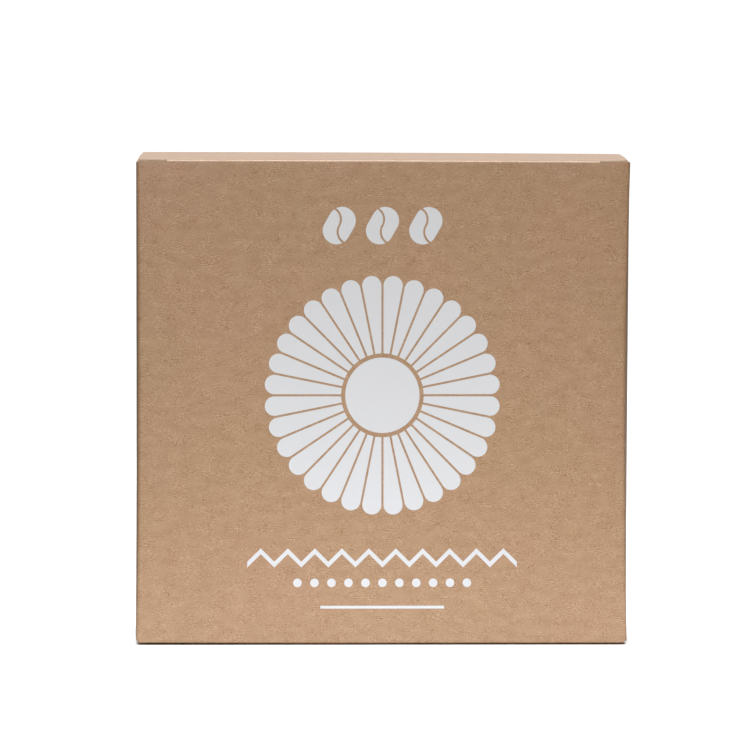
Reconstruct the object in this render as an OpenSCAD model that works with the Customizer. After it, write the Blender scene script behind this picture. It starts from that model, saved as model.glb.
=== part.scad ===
// Folding carton of kraft board that holds a stack of folded paper coffee filters.
// The body is one folded and glued sheet. Its lid, with a tuck flap, turns at the crease on the back panel.
// The front faces -Y, +Z is up, and the origin lies under the middle of the box on the surface it stands on.

/* [Carton] */
// Outside width of the carton, left to right
box_w = 170; // [155:1:190]
// Outside depth of the carton, front to back
box_d = 70; // [60:1:80]
// Outside height of the closed carton
box_h = 167; // [155:1:185]
// Thickness of the board
board_t = 0.6; // [0.4:0.1:0.8]
// Radius on the inside of a fold
crease_r = 0.4; // [0.3:0.1:0.6]
// Width of the glue flap inside the left panel
seam_w = 14; // [10:1:18]
// How far the left panel's cut edge stops short of the back panel's face
seam_step = 0.5; // [0.4:0.1:0.9]

/* [Lid] */
// Distance from the lid's side edges to the side panels' faces
lid_inset = 1; // [0.8:0.1:1.5]
// Gap between the tuck crease and the front panel
tuck_gap = 0.3; // [0.3:0.1:0.6]
// Length of the tuck flap below its crease
tuck_h = 17; // [12:1:22]
// Radius of the tuck flap's lower corners
tuck_corner_r = 12; // [6:1:12]
// Gap between the tuck flap's side edges and the side panels
tuck_side_gap = 1.2; // [1:0.1:2]
// Length of the cut at each end of the tuck crease
slit_w = 9.4; // [5:0.2:12]
// How far the front panel's cut edge lies below the lid's face
front_drop = 0.8; // [0.7:0.1:1.2]

/* [Dust flaps] */
// Length of each dust flap from its side panel
dust_l = 50; // [40:1:60]
// Gap between the dust flaps and the lid that lies on them
dust_gap = 0.15; // [0.1:0.05:0.3]
// Room between a dust flap's front edge and the tuck flap
dust_front_room = 1.1; // [0.8:0.1:2]
// How much a dust flap narrows toward its free end, on the side of the hinge
dust_taper = 9; // [4:1:14]
// Radius of a dust flap's free front corner
dust_corner_r = 8; // [4:1:10]

/* [Bottom] */
// Distance from the outer bottom flap's cut edge to the back panel's face
bottom_short = 2.5; // [2:0.5:5]
// Size of the cut corners of the bottom flaps
bottom_corner = 4; // [2:1:6]
// Length of each small bottom flap, which lies inside
minor_l = 60; // [45:1:70]
// Gap between the cut edges of neighbouring flaps
cut_gap = 0.4; // [0.3:0.1:0.6]

/* [Filters] */
// Number of folded filters in the stack
filter_count = 100; // [60:4:120]
// Number of filters whose edges make one ridge of the stack
ridge_filters = 4; // [4:1:10]
// Free height above the stack, and least free width beside it
filter_room = 11.8; // [8:0.2:16]
// Gap between the stack and the side or back panel it stands against
filter_gap = 0.3; // [0.2:0.1:0.5]
// Gap between the stack and the tip of the tuck flap
tuck_tip_gap = 0.6; // [0.4:0.1:1]
// Depth of the grooves between the ridges
groove_depth = 0.8; // [0.5:0.1:1.2]
// Width of the grooves
groove_w = 0.3; // [0.2:0.1:0.5]
// How unevenly the filters' edges line up
edge_stagger = 0.7; // [0:0.1:1]

/* [Print] */
// Thickness of the white ink
ink_t = 0.05; // [0.03:0.01:0.08]
// Outer radius of the fluted figure in the middle of the front
figure_r = 42; // [30:1:50]
// Number of its flutes
flute_count = 32; // [24:2:40]
// Radius of the plain disc inside the flutes
figure_disc_r = 13; // [8:1:16]
// Width of the bare lines in the figure
figure_line = 0.7; // [0.5:0.1:1]
// Length of one of the three beans above the figure
bean_l = 13.5; // [9:0.5:15]
// Width of a bean
bean_w = 9.5; // [6:0.5:10]
// Width of the zigzag band below the figure
band_w = 94; // [60:2:110]
// Height of the zigzag band
band_h = 6.6; // [4:0.2:8]
// Height of the zigzag's own line
band_line = 2; // [1:0.2:3]
// How far the figure's middle lies above the middle of the front
figure_rise = 2.5; // [0:0.5:5]
// Distance from the top of the carton to the middle of the beans
bean_drop = 22.6; // [20:0.2:25]

/* [Hidden] */
$fn = 96;

kraft = [0.70, 0.56, 0.44];
paper_white = [0.95, 0.94, 0.90];
ink_white = [0.87, 0.86, 0.85];

// The box's half sizes, and the outer radius of a fold
half_w = box_w / 2;
half_d = box_d / 2;
fold_r = crease_r + board_t;
fold_x = half_w - fold_r;
fold_y = half_d - fold_r;
seam_x = -fold_x + board_t;

// Length of the straight legs by which a fold runs into the flat stretches that it joins
lap = 1;

// Slant of the glue flap's ends
seam_slant = 3;

// A dust flap's neck: its room outside the tuck flap, and the step beside the hinge
dust_neck_room = 0.5;
dust_step_x = 2;
dust_step_y = 1.5;

// Shortest straight stretch of the tuck flap's side edges
tuck_straight = 1;

// Heights at the top: lid, dust flaps and the cut edge of the front panel
lid_under_z = box_h - board_t;
lid_fold_z = box_h - fold_r;
dust_top_z = lid_under_z - dust_gap;
dust_fold_z = dust_top_z - fold_r;
front_top_z = box_h - front_drop;

// Heights at the bottom, where three flaps lie on each other
outer_fold_z = fold_r;
inner_fold_z = board_t + fold_r;
minor_fold_z = 2 * board_t + fold_r;
floor_z = 3 * board_t;

// The lid's crease at the front, and the length and lean that let the tuck flap
// swing past the front panel: its tip comes no farther out than its crease
tuck_fold_y = -half_d + board_t + tuck_gap + fold_r;
lid_half_w = half_w - lid_inset;
crease_half_w = lid_half_w - slit_w;
tuck_w = 2 * (half_w - board_t - tuck_side_gap);
tuck_lean = asin((tuck_h / 2 + fold_r) / (half_d - tuck_fold_y + fold_r)) + 0.1;
tuck_tip_y = tuck_fold_y - crease_r * cos(tuck_lean) + tuck_h * sin(tuck_lean);

// The stack of filters: a quarter of a circle that stands in the lower left corner
filter_r = min(box_w - 2 * board_t, dust_top_z - board_t - floor_z) - filter_room;
stack_back_y = half_d - board_t - filter_gap;
stack_front_y = tuck_tip_y + tuck_tip_gap;
stack_depth = stack_back_y - stack_front_y;
ridge_count = round(filter_count / ridge_filters);
ridge_pitch = stack_depth / ridge_count;
stack_x = -half_w + 2 * board_t + filter_gap;

// Places of the printed figures on the front
figure_z = box_h / 2 + figure_rise;
bean_z = box_h - bean_drop;
bean_step = 15;
bean_tilt = 60;
band_z = 30;
dot_z = 21.4;
dot_r = 1.5;
dot_step = 5.9;
dot_side_count = 5;
rule_z = 13;
rule_w = 43;
rule_h = 1;

// Runs a profile drawn as (y, z) along x
module along_x(x0, x1) {
    translate([x0, 0, 0]) rotate([90, 0, 90]) linear_extrude(x1 - x0) children();
}

// Runs a profile drawn as (x, z) along y
module along_y(y0, y1) {
    translate([0, y1, 0]) rotate([90, 0, 0]) linear_extrude(y1 - y0) children();
}

// Runs a plan drawn as (x, y) up
module upward(z0, z1) {
    translate([0, 0, z0]) linear_extrude(z1 - z0) children();
}

// A flat stretch between two corners
module flat(a, b) {
    translate(a) square(b - a);
}

// A point beside a fold: so far out from its centre at an angle, and so far along the turn
function beside(angle, out, along) = out * [cos(angle), sin(angle)] + along * [-sin(angle), cos(angle)];

// A disc with a straight band off both ends of its arc
module disc_and_bands(r, from, to) {
    circle(r = r);
    rotate(from) flat([-lap, -lap], [r, 0]);
    rotate(to) flat([-lap, 0], [r, lap]);
}

// The section of a fold, from one angle to another, with a straight leg off either end
module bend(from, to, legs = [true, true]) {
    reach = 2 * fold_r;
    mid = (from + to) / 2;
    intersection() {
        difference() {
            disc_and_bands(fold_r, from, to);
            disc_and_bands(crease_r, from, to);
        }
        polygon(concat(
            legs[0] ? [beside(from, 0, -lap), beside(from, reach, -lap)] : [],
            [for (angle = [from, mid, to]) beside(angle, reach, 0)],
            legs[1] ? [beside(to, reach, lap), beside(to, 0, lap)] : [],
            [[0, 0]]
        ));
    }
}

// Plan of the front panel
module front_plan() {
    flat([-fold_x, -half_d], [fold_x, -half_d + board_t]);
}

// Plan of the back panel
module back_plan() {
    flat([seam_x, half_d - board_t], [fold_x, half_d]);
}

// The four panels and the folds between them, as cut from the top and the bottom.
// The side panels are the shortest, so all four meet only between the small flaps' and the dust flaps' folds.
module panels() {
    upward(minor_fold_z, dust_fold_z) {
        front_plan();
        back_plan();
        flat([half_w - board_t, -fold_y], [half_w, fold_y]);
        flat([-half_w, -fold_y], [-half_w + board_t, half_d - seam_step]);
        translate([fold_x, -fold_y]) bend(-90, 0);
        translate([-fold_x, -fold_y]) bend(180, 270);
        translate([fold_x, fold_y]) bend(0, 90);
        translate([seam_x, fold_y]) bend(90, 180);
    }
    upward(outer_fold_z, front_top_z) {
        front_plan();
        translate([fold_x, -fold_y]) bend(-90, 0, [true, false]);
        translate([-fold_x, -fold_y]) bend(180, 270, [false, true]);
    }
    upward(inner_fold_z, dust_fold_z) {
        back_plan();
        translate([fold_x, fold_y]) bend(0, 90, [false, true]);
        translate([seam_x, fold_y]) bend(90, 180, [true, false]);
    }
    upward(inner_fold_z, lid_fold_z) back_plan();
}

// The glue flap on the back panel, stuck to the inside of the left panel
module glue_flap() {
    root_y = fold_y - lap;
    edge_y = fold_y - seam_w;
    along_x(-half_w + board_t, -half_w + 2 * board_t)
        polygon([
            [fold_y, minor_fold_z], [fold_y, dust_fold_z], [root_y, dust_fold_z],
            [edge_y, dust_fold_z - seam_slant], [edge_y, minor_fold_z + seam_slant], [root_y, minor_fold_z]
        ]);
}

// The half of the lid's crease that stays with the back panel, cut on the mitre
module back_crease() {
    along_x(seam_x, fold_x)
        translate([fold_y, lid_fold_z]) bend(0, 45, [true, false]);
}

// Outline of a dust flap seen from above, for the right side
module dust_outline() {
    tip_x = half_w - dust_l;
    root_x = half_w - board_t - tuck_side_gap + dust_neck_room;
    front_y = tuck_fold_y - crease_r + dust_front_room;
    shoulder = front_y + fold_y - cut_gap;
    difference() {
        polygon([
            [half_w + lap, -fold_y + cut_gap], [root_x, -fold_y + cut_gap],
            [root_x - shoulder, front_y], [tip_x, front_y],
            [tip_x, fold_y - dust_taper], [root_x - dust_step_x, fold_y - dust_step_y],
            [root_x, fold_y - cut_gap], [half_w + lap, fold_y - cut_gap]
        ]);
        translate([tip_x, front_y]) difference() {
            square(dust_corner_r);
            translate([dust_corner_r, dust_corner_r]) circle(r = dust_corner_r);
        }
    }
}

// The flap that folds in from the top of the right panel
module dust_flap() {
    intersection() {
        along_y(-half_d, half_d) {
            translate([fold_x, dust_fold_z]) bend(0, 90);
            flat([0, dust_top_z - board_t], [fold_x, dust_top_z]);
        }
        upward(dust_fold_z - lap, box_h) dust_outline();
    }
}

// A bottom flap's outline seen from above: from its crease to its cut edge, corners cut off
module bottom_outline(half, crease_y, edge_y) {
    side = edge_y > crease_y ? 1 : -1;
    corner_y = edge_y - side * bottom_corner;
    polygon([
        [-half, crease_y - side * 2 * fold_r], [half, crease_y - side * 2 * fold_r],
        [half, corner_y], [half - bottom_corner, edge_y],
        [-half + bottom_corner, edge_y], [-half, corner_y]
    ]);
}

// The outer bottom flap, folded in from the front panel
module outer_bottom() {
    edge_y = half_d - bottom_short;
    intersection() {
        along_x(-fold_x, fold_x) {
            translate([-fold_y, outer_fold_z]) bend(180, 270);
            flat([-fold_y, 0], [edge_y, board_t]);
        }
        upward(-lap, outer_fold_z + lap) bottom_outline(fold_x, -fold_y, edge_y);
    }
}

// The inner bottom flap, folded in from the back panel and glued on the small flaps
module inner_bottom() {
    edge_y = -half_d + board_t + cut_gap;
    intersection() {
        along_x(seam_x, fold_x) {
            translate([fold_y, inner_fold_z]) bend(270, 360);
            flat([edge_y, board_t], [fold_y, 2 * board_t]);
        }
        upward(-lap, inner_fold_z + lap) bottom_outline(fold_x, fold_y, edge_y);
    }
}

// The small bottom flap, folded in from the right panel
module minor_bottom() {
    root = fold_y - cut_gap;
    tip_x = half_w - minor_l;
    intersection() {
        along_y(-half_d, half_d) {
            translate([fold_x, minor_fold_z]) bend(270, 360);
            flat([tip_x, 2 * board_t], [fold_x, floor_z]);
        }
        upward(-lap, minor_fold_z + lap)
            polygon([
                [half_w + lap, -root], [half_w + lap, root], [tip_x + bottom_corner, root],
                [tip_x, root - bottom_corner], [tip_x, -root + bottom_corner],
                [tip_x + bottom_corner, -root]
            ]);
    }
}

module carton() {
    color(kraft) {
        panels();
        glue_flap();
        back_crease();
        outer_bottom();
        inner_bottom();
        for (side = [0, 1]) mirror([side, 0, 0]) {
            dust_flap();
            minor_bottom();
        }
    }
}

// Outline of the tuck flap, from its crease down to its rounded corners
module tuck_outline() {
    r = min(tuck_corner_r, tuck_h - tuck_straight);
    half = tuck_w / 2;
    flat([-half, 0], [half, tuck_h - r]);
    flat([-half + r, 0], [half - r, tuck_h]);
    for (side = [-1, 1])
        translate([side * (half - r), tuck_h - r]) intersection() {
            circle(r = r);
            flat([-r, 0], [r, r]);
        }
}

module lid() {
    color(kraft) {
        along_x(-lid_half_w, lid_half_w) {
            translate([fold_y, lid_fold_z]) bend(45, 90, [false, true]);
            flat([tuck_fold_y, lid_under_z], [fold_y, box_h]);
        }
        along_x(-crease_half_w, crease_half_w)
            translate([tuck_fold_y, lid_fold_z]) bend(90, 180 + tuck_lean);
        for (side = [0, 1]) mirror([side, 0, 0])
            along_x(crease_half_w, lid_half_w)
                flat([tuck_fold_y - fold_r, lid_under_z], [tuck_fold_y + lap, box_h]);
        translate([0, tuck_fold_y, lid_fold_z]) rotate([90 + tuck_lean, 0, 0])
            translate([0, 0, crease_r]) linear_extrude(board_t) mirror([0, 1]) tuck_outline();
    }
}

// How far one ridge lies inside the stack's outline
function ridge_offset(i) = edge_stagger * (0.5 + 0.5 * sin(i * 137.5) * cos(i * 23));

module filter_stack() {
    core_r = filter_r - edge_stagger - groove_depth;
    edge = [for (i = [0 : ridge_count - 1])
        let (
            low = i * ridge_pitch + groove_w / 2,
            high = (i + 1) * ridge_pitch - groove_w / 2,
            r = filter_r - ridge_offset(i)
        )
        each [[core_r, low], [r, low], [r, high], [core_r, high]]];
    color(paper_white)
        translate([stack_x, stack_back_y, floor_z]) rotate([90, 0, 0])
            rotate_extrude(angle = 90, $fn = 256)
                polygon(concat([[0, 0], [core_r, 0]], edge, [[core_r, stack_depth], [0, stack_depth]]));
}

// One flute of the printed figure, pointing along x
module flute(r_out) {
    half_step = 180 / flute_count;
    inner_r = figure_disc_r + 2 * figure_line;
    tip_half = r_out * sin(half_step) - figure_line / 2;
    root_half = inner_r * sin(half_step) - figure_line / 2;
    polygon([
        [inner_r, -root_half], [r_out, -tip_half], [r_out, tip_half], [inner_r, root_half]
    ]);
    translate([r_out, 0]) circle(r = tip_half);
}

// A printed coffee bean: an oval with a bent line along it
module bean() {
    end_r = bean_w / 2;
    run = (bean_l - bean_w) / 2;
    line_r = bean_l * 0.32;
    difference() {
        union() {
            flat([-run, -end_r], [run, end_r]);
            for (side = [-1, 1]) translate([side * run, 0]) circle(r = end_r);
        }
        for (side = [-1, 1]) intersection() {
            translate([0, side * line_r]) difference() {
                circle(r = line_r + figure_line / 2);
                circle(r = line_r - figure_line / 2);
            }
            flat([side > 0 ? 0 : -bean_l, -bean_w], [side > 0 ? bean_l : 0, bean_w]);
        }
    }
}

// The printed zigzag, from its left end at the origin: up its lower side and back along its upper side
module zigzag() {
    rise = band_h - band_line;
    tooth_count = round(band_w / (2 * rise));
    half_tooth = band_w / tooth_count / 2;
    lower = [for (i = [0 : 2 * tooth_count]) [i * half_tooth, i % 2 * rise]];
    upper = [for (i = [2 * tooth_count : -1 : 0]) [i * half_tooth, i % 2 * rise + band_line]];
    polygon(concat(lower, upper));
}

module front_print() {
    flute_r = figure_r * (1 - sin(180 / flute_count));
    color(ink_white)
        translate([0, -half_d, 0]) rotate([90, 0, 0]) linear_extrude(ink_t) {
            translate([0, figure_z]) {
                circle(r = figure_disc_r);
                for (i = [1 : flute_count]) rotate((i + 0.5) * 360 / flute_count) flute(flute_r);
            }
            for (i = [-1 : 1]) translate([i * bean_step, bean_z]) rotate(bean_tilt) bean();
            translate([-band_w / 2, band_z - band_h / 2]) zigzag();
            for (i = [-dot_side_count : dot_side_count])
                translate([i * dot_step, dot_z]) circle(r = dot_r);
            translate([0, rule_z]) square([rule_w, rule_h], center = true);
        }
}

carton();
lid();
filter_stack();
front_print();
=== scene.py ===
"""A kraft board folding carton that holds a stack of folded paper filters, on a white floor.

The board is built as folded sheets, walked along their creases from the middle of the front panel, and given
its thickness at the end. Lengths are in metres, written as a number of millimetres times MM.
"""
import math

import bmesh
import bpy
from mathutils import Matrix, Vector, noise

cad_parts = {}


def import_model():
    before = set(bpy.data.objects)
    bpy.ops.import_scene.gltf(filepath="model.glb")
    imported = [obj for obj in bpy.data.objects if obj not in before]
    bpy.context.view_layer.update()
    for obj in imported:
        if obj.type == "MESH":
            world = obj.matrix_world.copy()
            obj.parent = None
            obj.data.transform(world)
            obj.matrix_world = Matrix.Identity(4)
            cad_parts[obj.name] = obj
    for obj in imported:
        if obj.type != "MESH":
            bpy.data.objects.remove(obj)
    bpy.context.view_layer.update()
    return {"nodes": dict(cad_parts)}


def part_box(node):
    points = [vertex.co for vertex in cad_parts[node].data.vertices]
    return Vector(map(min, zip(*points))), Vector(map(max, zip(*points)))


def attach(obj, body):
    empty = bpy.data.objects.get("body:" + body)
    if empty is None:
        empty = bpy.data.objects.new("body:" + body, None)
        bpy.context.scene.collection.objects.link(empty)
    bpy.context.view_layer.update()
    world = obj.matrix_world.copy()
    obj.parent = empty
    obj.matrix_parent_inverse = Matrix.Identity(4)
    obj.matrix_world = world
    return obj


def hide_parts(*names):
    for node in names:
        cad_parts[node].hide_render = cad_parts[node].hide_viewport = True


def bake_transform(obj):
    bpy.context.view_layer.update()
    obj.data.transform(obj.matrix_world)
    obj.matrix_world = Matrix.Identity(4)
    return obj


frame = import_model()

MM = 0.001

# Sizes that the frame gives
CARTON_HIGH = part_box("carton")[1]
LID_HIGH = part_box("lid")[1]
STACK_LOW, STACK_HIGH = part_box("filter_stack")
HALF_W = CARTON_HIGH.x
HALF_D = CARTON_HIGH.y
BOX_H = LID_HIGH.z

# The board: its thickness between the sheets' faces, and the radius on the outside of a fold
BOARD_T = 0.6 * MM
SHEET_T = 0.57 * MM
FOLD_R = 1.0 * MM
QUARTER = math.pi / 2
FOLD_RUN = FOLD_R * QUARTER
FOLD_X = HALF_W - FOLD_R
FOLD_Y = HALF_D - FOLD_R

# Heights at which the panels end in folds or cut edges. The dust flaps' folds are tighter than the others
OUTER_FOLD_Z = FOLD_R
INNER_FOLD_Z = BOARD_T + FOLD_R
MINOR_FOLD_Z = 2 * BOARD_T + FOLD_R
DUST_FOLD_R = 0.7 * MM
DUST_FOLD_RUN = DUST_FOLD_R * QUARTER
DUST_GAP = 0.05 * MM
DUST_FOLD_Z = BOX_H - BOARD_T - DUST_GAP - DUST_FOLD_R
LID_FOLD_Z = BOX_H - FOLD_R
FRONT_DROP = 0.65 * MM
FRONT_TOP_Z = BOX_H - FRONT_DROP
FRONT_CORNER_DROP = 0.35 * MM

# The glued seam
SEAM_X = -FOLD_X + BOARD_T
SEAM_STEP = 0.5 * MM
SEAM_W = 14 * MM
SEAM_ROOT = 1 * MM
SEAM_SLANT = 3 * MM

# The lid and its tuck flap, which leans in far enough to swing past the front panel
LID_HALF_W = LID_HIGH.x
SLIT_W = 9.4 * MM
CREASE_HALF_W = LID_HALF_W - SLIT_W
TUCK_GAP = 0.3 * MM
TUCK_SIDE_GAP = 1.2 * MM
TUCK_FOLD_R = 1.6 * MM
TUCK_FOLD_Y = -HALF_D + BOARD_T + TUCK_GAP + TUCK_FOLD_R
TUCK_H = 17 * MM
TUCK_R = 12 * MM
TUCK_HALF_W = HALF_W - BOARD_T - TUCK_SIDE_GAP
TUCK_SWING = HALF_D - TUCK_FOLD_Y + TUCK_FOLD_R
TUCK_LEAN = math.asin((TUCK_H / 2 + TUCK_FOLD_R) / TUCK_SWING) + math.radians(0.1)

# The lid's shoulders beside the tuck flap: how far they reach over the front panel, and how far it rises
# there
SHOULDER_REACH = TUCK_FOLD_R + 0.75 * MM
SHOULDER_RISE = 0.06 * MM

# The dust flaps
DUST_L = 50 * MM
DUST_R = 8 * MM
DUST_TAPER = 9 * MM
DUST_FRONT_ROOM = 0.7 * MM
DUST_FRONT_Y = TUCK_FOLD_Y + DUST_FRONT_ROOM
DUST_NECK = 1.3 * MM
DUST_STEP_X = 2 * MM
DUST_STEP_Y = 1.5 * MM

# The bottom flaps
FLAP_GAP = 0.4 * MM
BOTTOM_SHORT = 2.5 * MM
BOTTOM_CORNER = 4 * MM
MINOR_L = 60 * MM

# Spacing of the sheet's grid on flat stretches and round folds
CELL = 4 * MM
FOLD_CELL = FOLD_RUN / 8

# The strip of board at the lid's crease
CREASE_LEG = LID_FOLD_Z - DUST_FOLD_Z

# How the carton stands out of true: it leans, its lid slants and curls up at the right, its front's edge tips
# in, its side panels bulge between folds that are pulled in, its front and back are a little hollow, its lid
# is crowned, and it stands on the middle of its bottom
LEAN_LEFT = 0.56 * MM
LEAN_RIGHT = 0.9 * MM
TOP_SLANT = 0.8 * MM
TOP_CURL = 0.5 * MM
FRONT_TIP = 0.22 * MM
FRONT_TIP_RUN = 1.9 * MM
BULGE_RUN_LEFT = 6 * MM
BULGE_RUN_RIGHT = 14 * MM
BULGE_LEFT = (0.35 * MM, 0.6 * MM)
BULGE_RIGHT = (0.05 * MM, 1.25 * MM)
PANEL_HOLLOW = 0.35 * MM
LID_CROWN = 0.12 * MM
FOOT_LIFT = 0.35 * MM
FOOT_LIFT_LEFT = 0.2 * MM
FOOT_RUN = 18 * MM
FOOT_HEIGHT = 6 * MM
EDGE_WOBBLE = 0.06 * MM
WOBBLE_RUN = 11 * MM

# The filters: how unevenly they are spaced, and how much their layers are cut short and wave
FILTER_COUNT = 100
LAYERS = 4
LAYER_T = 0.1 * MM
ARC_PARTS = 40
SPACING_SPREAD = 0.45
CUT_SHORT = 1.0 * MM
CUT_SPREAD = 0.95 * MM
LAYER_STEPS = (0.0 * MM, 0.6 * MM, 0.25 * MM, 0.9 * MM)
LEAF_WAVE = 0.9 * MM

# The picture: a long lens with no shift, in a square frame
LENS = 361.75
SENSOR = 36
CAMERA_PLACE = Vector((-26.2, -2613.1, 268.3)) * MM
CAMERA_PITCH = math.radians(3.8907)
CAMERA_YAW = math.radians(0.5254)

# The light from below, on the floor in front of the carton
FOOT_LIGHT_X = -0.03
FOOT_LIGHT_Y = -HALF_D - 0.0652


def ramp(value, low, high):
    """0 below low, 1 above high, with a smooth rise between them."""
    t = min(1.0, max(0.0, (value - low) / (high - low)))
    return t * t * (3 - 2 * t)


def settle(point):
    """Where a point of the true carton lies on this one."""
    x, y, z = point
    side, deep, high = x / HALF_W, y / HALF_D, min(1.0, max(0.0, z / BOX_H))
    hump = 4 * high * (1 - high)
    across = max(0.0, 1 - side * side)
    along = max(0.0, 1 - deep * deep)

    run, (ends, middle) = (BULGE_RUN_LEFT, BULGE_LEFT) if x < 0 else (BULGE_RUN_RIGHT, BULGE_RIGHT)
    near_fold = max(0.0, (abs(y) - (HALF_D - run)) / run) ** 2
    wobble = EDGE_WOBBLE * (0.5 + 0.5 * noise.noise(Vector((side * 3, deep * 3, z / WOBBLE_RUN))))
    lean = LEAN_LEFT * (1 - math.exp(-4 * high)) if x < 0 else LEAN_RIGHT * (1 - high)
    pull = lean + (ends + middle * hump) * near_fold + wobble
    hollow = PANEL_HOLLOW * across * hump * (0.6 + 0.4 * math.sin(4 * side + 3 * high + 2 * deep))

    slant = TOP_SLANT * max(0.0, (1 + side) / 2) ** 1.6 * (1 - 0.2 * ramp(-deep, 0, 1))
    curl = TOP_CURL * ramp(side, 0.9, 1) * (1 - ramp(deep, -0.2, 1)) * (1 - 0.35 * ramp(-deep, 0.5, 1))
    drop = LID_CROWN * (1 - across * along) + slant - curl
    tip = FRONT_TIP * ramp(-deep, 0.95, 1) * max(0.0, 1 - (FRONT_TOP_Z - z) / FRONT_TIP_RUN) ** 2
    to_edge = max(0.0, min(HALF_W - abs(x), HALF_D - abs(y)))
    lift = (FOOT_LIFT + FOOT_LIFT_LEFT * ramp(-x, 20 * MM, HALF_W)) * (1 - ramp(to_edge, 0, FOOT_RUN))
    lift *= max(0.0, 1 - z / FOOT_HEIGHT)
    return Vector((
        x - side * pull,
        y - deep * hollow + tip,
        z - drop * high ** 4 + lift,
    ))


def stops(*turns):
    """Values from stop to stop, with the longest step allowed between them: stops(a, step, b, step, c)."""
    values = [turns[0]]
    for step, end in zip(turns[1::2], turns[2::2]):
        start = values[-1]
        count = max(1, round((end - start) / step))
        values += [start + (end - start) * i / count for i in range(1, count + 1)]
    return values


def round_stops(start, radius, count=10):
    """Stops that follow a rounded corner, which begins at start and ends one radius farther."""
    return [start + radius * math.sin(QUARTER * i / count) for i in range(1, count + 1)]


class Walk:
    """A line of straight stretches and bends in a plane. Each stretch is (length, turn in radians)."""

    def __init__(self, start, heading, stretches):
        self.parts = []
        at, point = 0.0, Vector(start)
        for length, turn in stretches:
            self.parts.append((at, length, point, heading, turn))
            point = self.advance(point, heading, turn, length, length)
            heading += turn
            at += length
        self.length = at

    @staticmethod
    def advance(point, heading, turn, length, run):
        if not turn:
            return point + run * Vector((math.cos(heading), math.sin(heading)))
        radius = length / turn
        angle = heading + turn * run / length
        chord = Vector((math.sin(angle) - math.sin(heading), math.cos(heading) - math.cos(angle)))
        return point + radius * chord

    def part_at(self, run):
        for part in self.parts:
            if run <= part[0] + part[1] + 1e-9:
                return part
        return self.parts[-1]

    def point(self, run):
        at, length, point, heading, turn = self.part_at(run)
        return self.advance(point, heading, turn, length, run - at)

    def heading(self, run):
        at, length, point, heading, turn = self.part_at(run)
        return heading + turn * (run - at) / length


class Sheet:
    """A surface of quads over grids, welded where they meet.

    Each face corner keeps its place on the flat sheet, which the materials read as the attribute grain.
    """

    def __init__(self):
        self.bm = bmesh.new()
        self.grain = self.bm.loops.layers.float_vector.new("grain")

    def patch(self, us, vs, place, flat=lambda u, v: (u, v)):
        rows = [[self.bm.verts.new(place(u, v)) for u in us] for v in vs]
        for j in range(len(vs) - 1):
            for i in range(len(us) - 1):
                corners = ((i, j), (i + 1, j), (i + 1, j + 1), (i, j + 1))
                face = self.bm.faces.new([rows[b][a] for a, b in corners])
                for loop, (a, b) in zip(face.loops, corners):
                    loop[self.grain] = Vector((*flat(us[a], vs[b]), 0))

    def board(self, name, materials):
        """The sheet with its thickness, as an object: outside, inside and cut edges."""
        bmesh.ops.remove_doubles(self.bm, verts=self.bm.verts, dist=1e-6)
        for vertex in self.bm.verts:
            vertex.co = settle(vertex.co)
        self.bm.normal_update()
        piece = new_piece(name, self.bm, materials)
        solid = piece.modifiers.new("thickness", "SOLIDIFY")
        solid.thickness = SHEET_T
        solid.offset = -1
        solid.use_even_offset = True
        solid.use_quality_normals = True
        solid.material_offset = 1
        solid.material_offset_rim = 2
        graph = bpy.context.evaluated_depsgraph_get()
        mesh = bpy.data.meshes.new_from_object(piece.evaluated_get(graph), depsgraph=graph)
        piece.modifiers.clear()
        piece.data = mesh
        smooth(piece)
        return piece


def new_piece(name, bm, materials):
    mesh = bpy.data.meshes.new(name)
    bm.to_mesh(mesh)
    bm.free()
    for material in materials:
        mesh.materials.append(material)
    piece = bpy.data.objects.new(name, mesh)
    bpy.context.scene.collection.objects.link(piece)
    return piece


def smooth(piece, sharp_angle=35):
    piece.data.shade_smooth()
    piece.data.set_sharp_from_angle(angle=math.radians(sharp_angle))


# Node graphs

class Graph:
    """Short names for the nodes that the materials share."""

    def __init__(self, material):
        material.use_nodes = True
        self.tree = material.node_tree
        self.tree.nodes.clear()

    def node(self, kind, inputs=(), **settings):
        made = self.tree.nodes.new("ShaderNode" + kind)
        for key, value in settings.items():
            setattr(made, key, value)
        for key, value in dict(inputs).items():
            if isinstance(value, bpy.types.NodeSocket):
                self.tree.links.new(value, made.inputs[key])
            else:
                made.inputs[key].default_value = value
        return made

    def stretch(self, vector, scale, offset=(0, 0, 0)):
        return self.node("Mapping", {"Vector": vector, "Scale": scale, "Location": offset}).outputs[0]

    def noise(self, vector, scale, detail=2.0, rough=0.5):
        return self.node(
            "TexNoise", {"Vector": vector, "Scale": scale, "Detail": detail, "Roughness": rough}
        ).outputs["Fac"]

    def math(self, operation, a, b=0.0, clamp=False):
        return self.node("Math", {0: a, 1: b}, operation=operation, use_clamp=clamp).outputs[0]

    def between(self, value, low, high, to_low=0.0, to_high=1.0):
        return self.node("MapRange", {
            "Value": value, "From Min": low, "From Max": high, "To Min": to_low, "To Max": to_high
        }).outputs[0]

    def mix(self, factor, a, b, blend="MIX"):
        made = self.node("Mix", {0: factor, 6: a, 7: b}, data_type="RGBA", blend_type=blend)
        return made.outputs[2]

    def finish(self, **inputs):
        shader = self.node("BsdfPrincipled", {k.replace("_", " "): v for k, v in inputs.items()})
        self.node("OutputMaterial", {"Surface": shader.outputs[0]})


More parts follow.
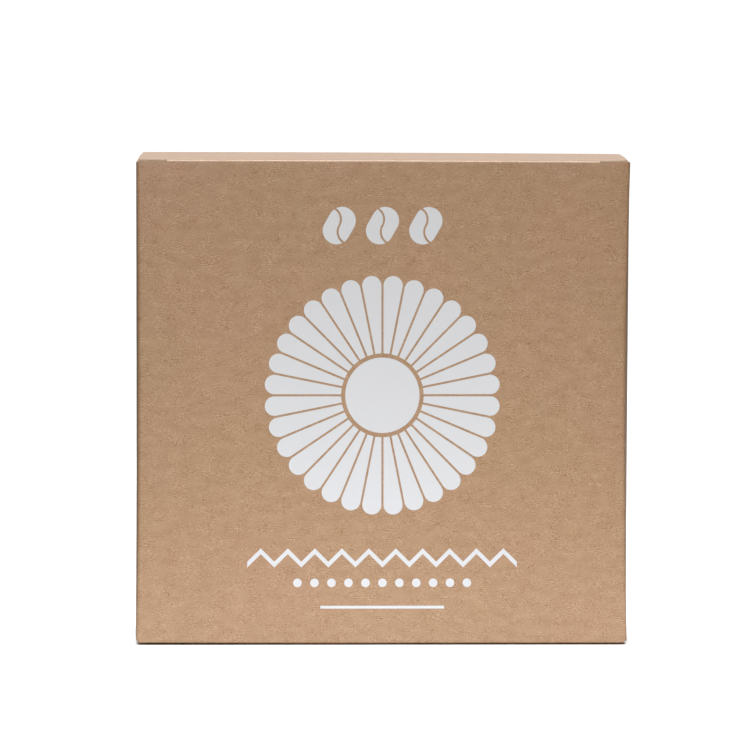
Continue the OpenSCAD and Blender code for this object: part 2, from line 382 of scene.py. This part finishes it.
def kraft(name, base, contrast=1.0, roughness=0.32):
    """Kraft board: brown pulp with fibres along the sheet, grain, soft clouds, curly hairs and specks."""
    material = bpy.data.materials.new(name)
    g = Graph(material)
    flat = g.node("Attribute", attribute_name="grain").outputs["Vector"]

    fibres = g.noise(g.stretch(flat, (600, 2600, 1)), 1.0, 2.0, 0.6)
    grain = g.noise(g.stretch(flat, (1750, 2600, 1)), 1.0, 2.0, 0.7)
    mottle = g.noise(g.stretch(flat, (170, 330, 1)), 1.0, 2.0)
    clouds = g.noise(flat, 22.0, 2.0)

    patches = g.noise(g.stretch(flat, (190, 260, 1), (3, 7, 0)), 1.0, 1.0)
    busy = g.between(patches, 0.36, 0.64, 0.35 * contrast, 1.3 * contrast)
    fine = g.math("ADD", g.between(fibres, 0, 1, -0.32, 0.32), g.between(grain, 0, 1, -0.66, 0.66))
    tone = g.math("MULTIPLY", fine, busy)
    tone = g.math("ADD", tone, g.between(mottle, 0, 1, -0.15 * contrast, 0.15 * contrast))

    # Hairs lie where a noise crosses its middle value, pale ones in some areas and dark ones in others
    curls = g.noise(g.stretch(flat, (330, 480, 1), (5, 2, 0)), 1.0, 1.0)
    curls = g.math("ABSOLUTE", g.math("SUBTRACT", curls, 0.5))
    areas = g.noise(g.stretch(flat, (210, 210, 1), (8, 1, 0)), 1.0, 1.0)
    hair = g.between(curls, 0.0, 0.022, 1.0, 0.0)
    pale_hair = g.math("MULTIPLY", hair, g.between(areas, 0.56, 0.62))
    dark_hair = g.math("MULTIPLY", hair, g.between(areas, 0.44, 0.38))
    tone = g.math("ADD", tone, g.math("MULTIPLY", pale_hair, 0.14 * contrast))
    tone = g.math("SUBTRACT", tone, g.math("MULTIPLY", dark_hair, 0.16 * contrast))

    # Specks of two sizes: cells to the metre, the specks' radii in a cell, and the shares and depths of
    # the dark and the pale ones
    for density, (least, most), (dark_share, dark_by), (pale_share, pale_by) in (
        (650.0, (0.10, 0.22), (0.15, 0.24), (0.06, 0.18)),
        (210.0, (0.03, 0.085), (0.10, 0.42), (0.08, 0.2)),
    ):
        spots = g.node("TexVoronoi", {"Vector": flat, "Scale": density, "Randomness": 1.0})
        lot = g.node("SeparateColor", {"Color": spots.outputs["Color"]})
        size = g.between(lot.outputs["Red"], 0, 1, least, most)
        inside = g.between(spots.outputs["Distance"], size, g.math("MULTIPLY", size, 0.5))
        dark = g.math("MULTIPLY", inside, g.math("GREATER_THAN", lot.outputs["Green"], 1 - dark_share))
        pale = g.math("MULTIPLY", inside, g.math("LESS_THAN", lot.outputs["Green"], pale_share))
        tone = g.math("SUBTRACT", tone, g.math("MULTIPLY", dark, dark_by))
        tone = g.math("ADD", tone, g.math("MULTIPLY", pale, pale_by))

    # Fibres shade all three colours by the same step to the eye, so they are greyer than the pulp
    fibre = tuple(c * k for c, k in zip(base, (1.0, 1.36, 1.95)))
    darkest = tuple(c - f / 2 for c, f in zip(base, fibre)) + (1,)
    palest = tuple(c + f / 2 for c, f in zip(base, fibre)) + (1,)
    colour = g.mix(g.math("ADD", tone, 0.5), darkest, palest)
    hue = g.mix(g.between(clouds, 0.35, 0.65), (0.985, 1.005, 0.98, 1), (1.015, 0.995, 1.02, 1))
    colour = g.mix(1.0, colour, hue, "MULTIPLY")

    height = g.math("ADD", fibres, grain)
    bump = g.node("Bump", {"Strength": 0.6, "Distance": 0.06 * MM, "Height": height})
    g.finish(
        Base_Color=colour, Normal=bump.outputs[0],
        Roughness=g.between(grain, 0.2, 0.8, roughness - 0.04, roughness + 0.06),
    )
    return material


def cut_edge():
    """The raw edge of the board, paler than its faces and rough."""
    material = bpy.data.materials.new("kraft_cut_edge")
    g = Graph(material)
    flat = g.node("Attribute", attribute_name="grain").outputs["Vector"]
    pulp = g.noise(flat, 1800.0, 2.0)
    colour = g.mix(pulp, (0.60, 0.43, 0.29, 1), (0.74, 0.57, 0.41, 1))
    g.finish(Base_Color=colour, Roughness=0.9, Specular_IOR_Level=0.2)
    return material


def filter_paper():
    """Unglazed filter paper: off-white, with a fine crepe and cloudy pulp."""
    material = bpy.data.materials.new("filter_paper")
    g = Graph(material)
    place = g.node("TexCoord").outputs["Object"]
    crepe = g.noise(g.stretch(place, (900, 900, 2500)), 1.0, 2.0)
    clouds = g.noise(place, 120.0, 3.0)
    tint = g.mix(clouds, (0.86, 0.84, 0.785, 1), (0.93, 0.918, 0.88, 1))
    bump = g.node("Bump", {"Strength": 0.4, "Distance": 0.05 * MM, "Height": crepe})
    g.finish(Base_Color=tint, Normal=bump.outputs[0], Roughness=0.85, Specular_IOR_Level=0.25)
    return material


def white_ink():
    """White ink that covers the board evenly and keeps a little of its grain."""
    material = bpy.data.materials.new("white_ink")
    g = Graph(material)
    flat = g.node("Attribute", attribute_name="grain").outputs["Vector"]
    grain = g.noise(flat, 1250.0, 1.5, 0.6)
    tint = g.mix(grain, (0.79, 0.78, 0.78, 1), (0.81, 0.80, 0.80, 1))
    bump = g.node("Bump", {"Strength": 0.12, "Distance": 0.06 * MM, "Height": grain})
    g.finish(Base_Color=tint, Normal=bump.outputs[0], Roughness=0.55, Specular_IOR_Level=0.35)
    return material


# The board

KRAFT_OUTSIDE = kraft("kraft_outside", (0.463, 0.273, 0.1475))
KRAFT_INSIDE = kraft("kraft_inside", (0.435, 0.265, 0.15), contrast=1.2, roughness=0.75)
BOARD = [KRAFT_OUTSIDE, KRAFT_INSIDE, cut_edge()]

# The walls from the middle of the front panel, to the right and to the left
SIDE_RUN = 2 * FOLD_Y
BACK_RUN = FOLD_X - SEAM_X
RIGHTWARD = Walk((0, -HALF_D), 0.0, [
    (FOLD_X, 0), (FOLD_RUN, QUARTER), (SIDE_RUN, 0), (FOLD_RUN, QUARTER),
    (BACK_RUN, 0), (FOLD_RUN, QUARTER), (SEAM_W, 0),
])
LEFTWARD = Walk((0, -HALF_D), math.pi, [
    (FOLD_X, 0), (FOLD_RUN, -QUARTER), (SIDE_RUN + FOLD_R - SEAM_STEP, 0),
])
# Where the panels begin and end along the walk
SIDE_START = FOLD_X + FOLD_RUN
SIDE_END = SIDE_START + SIDE_RUN
BACK_START = SIDE_END + FOLD_RUN
BACK_END = BACK_START + BACK_RUN
SEAM_START = BACK_END + FOLD_RUN


def wall(u):
    """The point of the wall at u along the sheet, and the way out of the carton there."""
    line, run = (RIGHTWARD, u) if u >= 0 else (LEFTWARD, -u)
    turned = line.heading(run) - math.copysign(QUARTER, u if u else 1)
    return line.point(run), Vector((math.cos(turned), math.sin(turned)))


def wall_point(u, z):
    x, y = wall(u)[0]
    return Vector((x, y, z))


def fold_over(sheet, us, vs, line, span=None, root=0.0, up=True):
    """A flap: the wall's run us, carried on along a line drawn as (outward, height).

    span(v) gives the two ends of the flap's run at v along the line, where it isn't as wide as its root.
    """
    first, last = us[0], us[-1]

    def place(u, v):
        low, high = span(v) if span else (first, last)
        shifted = low + (u - first) / (last - first) * (high - low)
        point, outward = wall(shifted)
        out, height = line.point(v)
        return Vector((*(point + outward * out), height))

    order = us if up else us[::-1]
    sheet.patch(order, vs, place, lambda u, v: (u, root + (v if up else -v)))


def side_stops(sign):
    """Stops across a side panel, with one at each end of the flaps that hang on it."""
    end = SIDE_END if sign > 0 else SIDE_END + FOLD_R - SEAM_STEP
    run = stops(SIDE_START, CELL, SIDE_START + FLAP_GAP, CELL, SIDE_END - FLAP_GAP, CELL, end)
    return run if sign > 0 else [-u for u in reversed(run)]


def front_point(u, z):
    """A point of the front panel, whose cut edge rises to the lid's shoulders and falls at the corners."""
    share = max(0.0, (z - DUST_FOLD_Z) / (FRONT_TOP_Z - DUST_FOLD_Z))
    rise = SHOULDER_RISE * ramp(abs(u), CREASE_HALF_W, CREASE_HALF_W + CELL / 4)
    drop = FRONT_CORNER_DROP * max(0.0, (abs(u) - FOLD_X) / FOLD_RUN) ** 2
    return wall_point(u, z + share * (rise - drop))


def carton_sheet():
    sheet = Sheet()
    middle = stops(MINOR_FOLD_Z, CELL, DUST_FOLD_Z - 1.2 * MM, 0.4 * MM, DUST_FOLD_Z)
    shoulder = CREASE_HALF_W + CELL / 4
    front_us = stops(
        -SIDE_START, FOLD_CELL, -FOLD_X, CELL, -shoulder, CELL / 4, -CREASE_HALF_W, CELL,
        CREASE_HALF_W, CELL / 4, shoulder, CELL, FOLD_X, FOLD_CELL, SIDE_START,
    )
    front_zs = stops(OUTER_FOLD_Z, CELL, MINOR_FOLD_Z) + middle[1:]
    front_zs += stops(DUST_FOLD_Z, 0.25 * MM, FRONT_TOP_Z)[1:]
    sheet.patch(front_us, front_zs, front_point)
    for sign in (1, -1):
        sheet.patch(side_stops(sign), middle, wall_point)
    back_us = stops(SIDE_END, FOLD_CELL, BACK_START, CELL, BACK_END, FOLD_CELL, SEAM_START)
    sheet.patch(back_us, stops(INNER_FOLD_Z, CELL, MINOR_FOLD_Z) + middle[1:], wall_point)
    glue_flap(sheet, middle)

    inside_front = [u for u in front_us if abs(u) <= FOLD_X + 1e-9]
    bottom_flap(sheet, inside_front, OUTER_FOLD_Z, 2 * HALF_D - BOTTOM_SHORT - FOLD_R)
    inside_back = [u for u in back_us if BACK_START - 1e-9 <= u <= BACK_END + 1e-9]
    bottom_flap(sheet, inside_back, INNER_FOLD_Z, 2 * HALF_D - BOARD_T - FLAP_GAP - FOLD_R)
    for sign in (1, -1):
        roots = [u for u in side_stops(sign)
                 if SIDE_START + FLAP_GAP - 1e-9 <= abs(u) <= SIDE_END - FLAP_GAP + 1e-9]
        bottom_flap(sheet, roots, MINOR_FOLD_Z, MINOR_L - FOLD_R)
        dust_flap(sheet, roots, sign)
    return sheet.board("carton_board", BOARD)


def glue_flap(sheet, zs):
    """The glue flap inside the left panel, whose ends slant."""
    middle = (zs[0] + zs[-1]) / 2
    root = SEAM_START + SEAM_ROOT

    def place(u, z):
        cut = SEAM_SLANT * max(0.0, u - root) / (SEAM_W - SEAM_ROOT)
        share = 1 - cut / (zs[-1] - middle)
        return wall_point(u, middle + (z - middle) * share)

    sheet.patch(stops(SEAM_START, CELL, root, CELL, SEAM_START + SEAM_W), zs, place)


def bottom_flap(sheet, us, root_z, length):
    """A bottom flap, folded in at root_z, with its two far corners cut off."""
    line = Walk((0, root_z), -QUARTER, [(FOLD_RUN, -QUARTER), (length, 0)])
    corner = line.length - BOTTOM_CORNER

    def span(v):
        cut = max(0.0, v - corner)
        return us[0] + cut, us[-1] - cut

    vs = stops(0.0, FOLD_CELL, FOLD_RUN, CELL, corner, CELL, line.length)
    fold_over(sheet, us, vs, line, span, root_z, up=False)


def dust_flap(sheet, us, sign):
    """A dust flap, narrowed at its neck and toward its free end, with a rounded corner at the front."""
    line = Walk((0, DUST_FOLD_Z), QUARTER, [(DUST_FOLD_RUN, QUARTER), (DUST_L - DUST_FOLD_R, 0)])
    flat_x = HALF_W - DUST_FOLD_R
    root_y = FOLD_Y - FLAP_GAP
    neck_x = HALF_W - DUST_NECK
    shoulder_x = neck_x - (DUST_FRONT_Y + root_y)
    tip_x = HALF_W - DUST_L
    round_x = tip_x + DUST_R
    step_x = neck_x - DUST_STEP_X

    def run_to(x):
        return DUST_FOLD_RUN + flat_x - x

    def span(v):
        x = flat_x - max(0.0, v - DUST_FOLD_RUN)
        front = -root_y + min(max(0.0, neck_x - x), neck_x - shoulder_x)
        if x < round_x:
            front += DUST_R - math.sqrt(max(0.0, DUST_R ** 2 - (round_x - x) ** 2))
        if x > step_x:
            back = root_y - (root_y - FOLD_Y + DUST_STEP_Y) * max(0.0, neck_x - x) / DUST_STEP_X
        else:
            narrowing = DUST_TAPER - DUST_STEP_Y
            back = FOLD_Y - DUST_STEP_Y - narrowing * (step_x - x) / (step_x - tip_x)
        ends = [SIDE_START + FOLD_Y + front, SIDE_START + FOLD_Y + back]
        return ends if sign > 0 else [-ends[1], -ends[0]]

    vs = stops(
        0.0, DUST_FOLD_RUN / 6, DUST_FOLD_RUN, CELL, run_to(neck_x), CELL, run_to(shoulder_x),
        CELL, run_to(step_x), CELL, run_to(round_x),
    ) + round_stops(run_to(round_x), DUST_R)
    fold_over(sheet, us, vs, line, span, DUST_FOLD_Z)


def crease_strip():
    """The board round the lid's crease, from the back panel to the lid."""
    sheet = Sheet()
    line = Walk((0, DUST_FOLD_Z), QUARTER, [(CREASE_LEG, 0), (FOLD_RUN, QUARTER), (CREASE_LEG, 0)])
    vs = stops(0.0, CREASE_LEG / 2, CREASE_LEG, FOLD_CELL, CREASE_LEG + FOLD_RUN, CREASE_LEG / 2, line.length)
    us = stops(BACK_START, CELL, BACK_END)
    fold_over(sheet, us, vs, line, None, DUST_FOLD_Z)
    return sheet.board("lid_crease", BOARD)


def lid_sheet():
    """The lid's panel, the two shoulders beside its front crease, and the tuck flap."""
    sheet = Sheet()
    start_y = FOLD_Y - CREASE_LEG
    panel_run = start_y - TUCK_FOLD_Y
    bend_turn = QUARTER + TUCK_LEAN
    bend_run = TUCK_FOLD_R * bend_turn
    line = Walk((start_y, BOX_H), math.pi, [(panel_run, 0), (bend_run, bend_turn), (TUCK_H, 0)])
    bend_end = panel_run + bend_run
    corner = line.length - TUCK_R

    def place(x, v):
        y, z = line.point(v)
        return Vector((x, y, z))

    def flap_place(x, v):
        rounding = max(0.0, v - corner)
        half = TUCK_HALF_W - TUCK_R + math.sqrt(max(0.0, TUCK_R ** 2 - rounding ** 2))
        return place(x * half / TUCK_HALF_W, v)

    def shoulder_place(x, v):
        return Vector((x, start_y - v, BOX_H))

    def flat(x, v):
        return -x, BOX_H + v

    crease_xs = stops(CREASE_HALF_W, -CELL, -CREASE_HALF_W)
    lid_xs = stops(LID_HALF_W, -CELL, CREASE_HALF_W) + crease_xs[1:]
    lid_xs += stops(-CREASE_HALF_W, -CELL, -LID_HALF_W)[1:]
    sheet.patch(lid_xs, stops(0.0, CELL, panel_run), place, flat)
    sheet.patch(crease_xs, stops(panel_run, FOLD_CELL, bend_end), place, flat)
    tuck_xs = stops(TUCK_HALF_W, -CELL, CREASE_HALF_W) + crease_xs[1:]
    tuck_xs += stops(-CREASE_HALF_W, -CELL, -TUCK_HALF_W)[1:]
    sheet.patch(tuck_xs, stops(bend_end, CELL, corner) + round_stops(corner, TUCK_R), flap_place, flat)
    for near, far in ((LID_HALF_W, CREASE_HALF_W), (-CREASE_HALF_W, -LID_HALF_W)):
        sheet.patch(stops(near, -CELL, far), [panel_run, panel_run + SHOULDER_REACH], shoulder_place, flat)
    return sheet.board("lid_board", BOARD)


# The filters and the print

def filter_leaves():
    """Every layer of every folded filter: a quarter of a circle that stands in the lower left corner."""
    bm = bmesh.new()
    corner_x, floor_z = STACK_LOW.x, STACK_LOW.z
    radius = STACK_HIGH.x - STACK_LOW.x
    depth = STACK_HIGH.y - STACK_LOW.y
    pitches = [1 + SPACING_SPREAD * noise.noise(Vector((i * 0.73, 5.1, 0.4))) for i in range(FILTER_COUNT)]
    share = depth / sum(pitches)
    y = STACK_LOW.y
    for i, pitch in enumerate(pitches):
        for k in range(LAYERS):
            at = y + pitch * share * (k + 0.3) / (LAYERS + 0.6)
            uneven = CUT_SPREAD * noise.noise(Vector((i * 1.7, k * 0.6, 2.2)))
            reach = radius - CUT_SHORT - uneven - LAYER_STEPS[k]
            leaf(bm, corner_x, floor_z, at, reach, STACK_LOW.y, depth)
        y += pitch * share
    bmesh.ops.recalc_face_normals(bm, faces=bm.faces)
    for vertex in bm.verts:
        vertex.co = settle(vertex.co)
    piece = new_piece("filter_leaves", bm, [filter_paper()])
    smooth(piece)
    return piece


def leaf(bm, corner_x, floor_z, at, reach, low_y, depth):
    """One closed layer of paper at a depth of at, which waves gently toward its round edge."""
    inward = max(0.0, math.sin(math.pi * (at - low_y) / depth))

    def ring(offset):
        points = [bm.verts.new((corner_x, at + offset, floor_z))]
        for n in range(ARC_PARTS + 1):
            angle = QUARTER * n / ARC_PARTS
            wave = LEAF_WAVE * inward * math.sin(3.1 * angle + 25 * at)
            points.append(bm.verts.new((
                corner_x + reach * math.cos(angle), at + offset + wave, floor_z + reach * math.sin(angle)
            )))
        return points

    front, back = ring(0.0), ring(LAYER_T)
    count = len(front)
    for n in range(1, count - 1):
        bm.faces.new((front[0], front[n], front[n + 1]))
        bm.faces.new((back[0], back[n + 1], back[n]))
    for n in range(count):
        m = (n + 1) % count
        bm.faces.new((front[n], back[n], back[m], front[m]))


def print_figures():
    """The printed figures, cut on the front panel's grid so that they follow it."""
    bm = bmesh.new()
    bm.from_mesh(frame["nodes"]["front_print"].data)
    bmesh.ops.remove_doubles(bm, verts=bm.verts, dist=1e-7)
    bmesh.ops.dissolve_limit(bm, angle_limit=math.radians(0.5), verts=bm.verts, edges=bm.edges)
    low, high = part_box("front_print")
    for axis, values in ((0, stops(-FOLD_X, CELL, FOLD_X)), (2, stops(MINOR_FOLD_Z, CELL, DUST_FOLD_Z))):
        for value in values:
            if low[axis] < value < high[axis]:
                at, normal = Vector(), Vector()
                at[axis], normal[axis] = value, 1
                everything = bm.verts[:] + bm.edges[:] + bm.faces[:]
                bmesh.ops.bisect_plane(bm, geom=everything, dist=1e-7, plane_co=at, plane_no=normal)
    grain = bm.loops.layers.float_vector.new("grain")
    for face in bm.faces:
        for loop in face.loops:
            loop[grain] = Vector((loop.vert.co.x, loop.vert.co.z, 0))
    for vertex in bm.verts:
        vertex.co = settle(vertex.co)
    piece = new_piece("print_figures", bm, [white_ink()])
    smooth(piece)
    return piece


def dress():
    carton = carton_sheet()
    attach(carton, "carton")
    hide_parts("carton")

    lid = lid_sheet()
    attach(lid, "lid")
    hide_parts("lid")

    crease = crease_strip()
    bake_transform(crease)

    leaves = filter_leaves()
    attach(leaves, "carton")
    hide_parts("filter_stack")

    figures = print_figures()
    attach(figures, "carton")
    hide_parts("front_print")


# The room

def camera():
    data = bpy.data.cameras.new("camera")
    data.lens = LENS
    data.sensor_width = SENSOR
    data.clip_start = 0.05
    data.clip_end = 100
    forward = Vector((
        math.sin(CAMERA_YAW) * math.cos(CAMERA_PITCH),
        math.cos(CAMERA_YAW) * math.cos(CAMERA_PITCH),
        -math.sin(CAMERA_PITCH),
    ))
    right = Vector((math.cos(CAMERA_YAW), -math.sin(CAMERA_YAW), 0))
    up = right.cross(forward)
    made = bpy.data.objects.new("camera", data)
    made.matrix_world = Matrix.Translation(CAMERA_PLACE) @ Matrix((right, up, -forward)).transposed().to_4x4()
    bpy.context.scene.collection.objects.link(made)
    bpy.context.scene.camera = made


def softbox(name, place, aim, size, power, colour=(1, 1, 1)):
    """A plain rectangular light that the camera doesn't see, of so many watts."""
    data = bpy.data.lights.new(name, "AREA")
    data.shape = "RECTANGLE"
    data.size, data.size_y = size
    data.energy = power
    data.color = colour
    made = bpy.data.objects.new(name, data)
    made.location = place
    made.rotation_euler = (Vector(aim) - Vector(place)).to_track_quat("-Z", "Y").to_euler()
    made.visible_camera = False
    bpy.context.scene.collection.objects.link(made)


def seen_white(g, sideways, near, far):
    """1 for what is seen directly or through something. Reflections see white too, but dark to the sides."""
    path = g.node("LightPath")
    seen = g.math("MAXIMUM", path.outputs["Is Camera Ray"], path.outputs["Is Transmission Ray"])
    mirrored = g.math("MULTIPLY", path.outputs["Is Glossy Ray"], g.between(sideways, near, far, 1.0, 0.05))
    return g.math("MAXIMUM", seen, mirrored)


def floor():
    """A white floor, seen lifted to white except close under the carton.

    Beside and behind the carton it throws less light on it, as with dark cards that lie there.
    """
    bm = bmesh.new()
    bmesh.ops.create_circle(bm, cap_ends=True, radius=40, segments=64)
    material = bpy.data.materials.new("white_floor")
    g = Graph(material)
    place = g.node("TexCoord").outputs["Object"]
    far = g.node("VectorMath", {0: place}, operation="LENGTH").outputs["Value"]
    way = g.node("VectorMath", {0: place}, operation="NORMALIZE").outputs["Vector"]
    lift = g.between(far, 0.15, 0.9, 0.72, 1.0)
    open_sky = g.node("AmbientOcclusion", {"Distance": 10 * MM}, samples=16).outputs["AO"]
    lift = g.math("MULTIPLY", lift, g.between(open_sky, 0.3, 0.58))

    where = g.node("SeparateXYZ", {0: place})
    left = g.between(where.outputs["X"], -0.09, -0.14, 0.0, 0.95)
    right = g.between(where.outputs["X"], 0.1, 0.2, 0.0, 0.4)
    card = g.math("MULTIPLY", g.math("ADD", left, right), g.between(where.outputs["Y"], -0.25, -0.05))
    path = g.node("LightPath")
    bounced = g.math("MAXIMUM", path.outputs["Is Diffuse Ray"], path.outputs["Is Glossy Ray"])
    card = g.math("MULTIPLY", card, bounced)
    matt = g.node("BsdfDiffuse", {"Color": g.mix(card, (0.85, 0.85, 0.85, 1), (0, 0, 0, 1))})

    parts = g.node("SeparateXYZ", {0: way})
    sideways = g.math("ABSOLUTE", parts.outputs["X"])
    sideways = g.math("MULTIPLY", sideways, g.between(parts.outputs["Y"], 0.0, 0.3, 1.0, 4.0))
    glow = g.node("Emission", {"Strength": g.math("MULTIPLY", seen_white(g, sideways, 0.05, 0.25), lift)})
    both = g.node("AddShader", {0: matt.outputs[0], 1: glow.outputs[0]})
    g.node("OutputMaterial", {"Surface": both.outputs[0]})
    made = new_piece("floor", bm, [material])


def world():
    made = bpy.data.worlds.new("studio")
    bpy.context.scene.world = made
    g = Graph(made)
    way = g.node("TexCoord").outputs["Generated"]
    sideways = g.math("ABSOLUTE", g.node("SeparateXYZ", {0: way}).outputs["X"])
    strength = g.math("MAXIMUM", 0.12, seen_white(g, sideways, 0.15, 0.45))
    back = g.node("Background", {"Strength": strength})
    g.node("OutputWorld", {"Surface": back.outputs[0]})


def studio():
    camera()
    floor()
    world()
    softbox("overhead", place=(-0.05, -0.35, 1.1), aim=(-0.05, -0.05, 0.05), size=(0.5, 0.8), power=4.1)
    softbox("behind", place=(0, 0.2, 1.2), aim=(0, 0.05, 0.1), size=(0.45, 0.5), power=9)
    softbox("front", place=(-0.35, -1.7, 0.7), aim=(0, 0, 0.08), size=(0.8, 0.9), power=5.8)
    # Light that a white table throws up at the front, a little cooler than the rest
    softbox(
        "foot", place=(FOOT_LIGHT_X, FOOT_LIGHT_Y, 0.0005), aim=(FOOT_LIGHT_X, FOOT_LIGHT_Y, 1.0),
        size=(0.4, 0.13), power=0.183, colour=(0.97, 1.05, 1.15),
    )
    bpy.context.scene.view_settings.view_transform = "Standard"


studio()
dress()
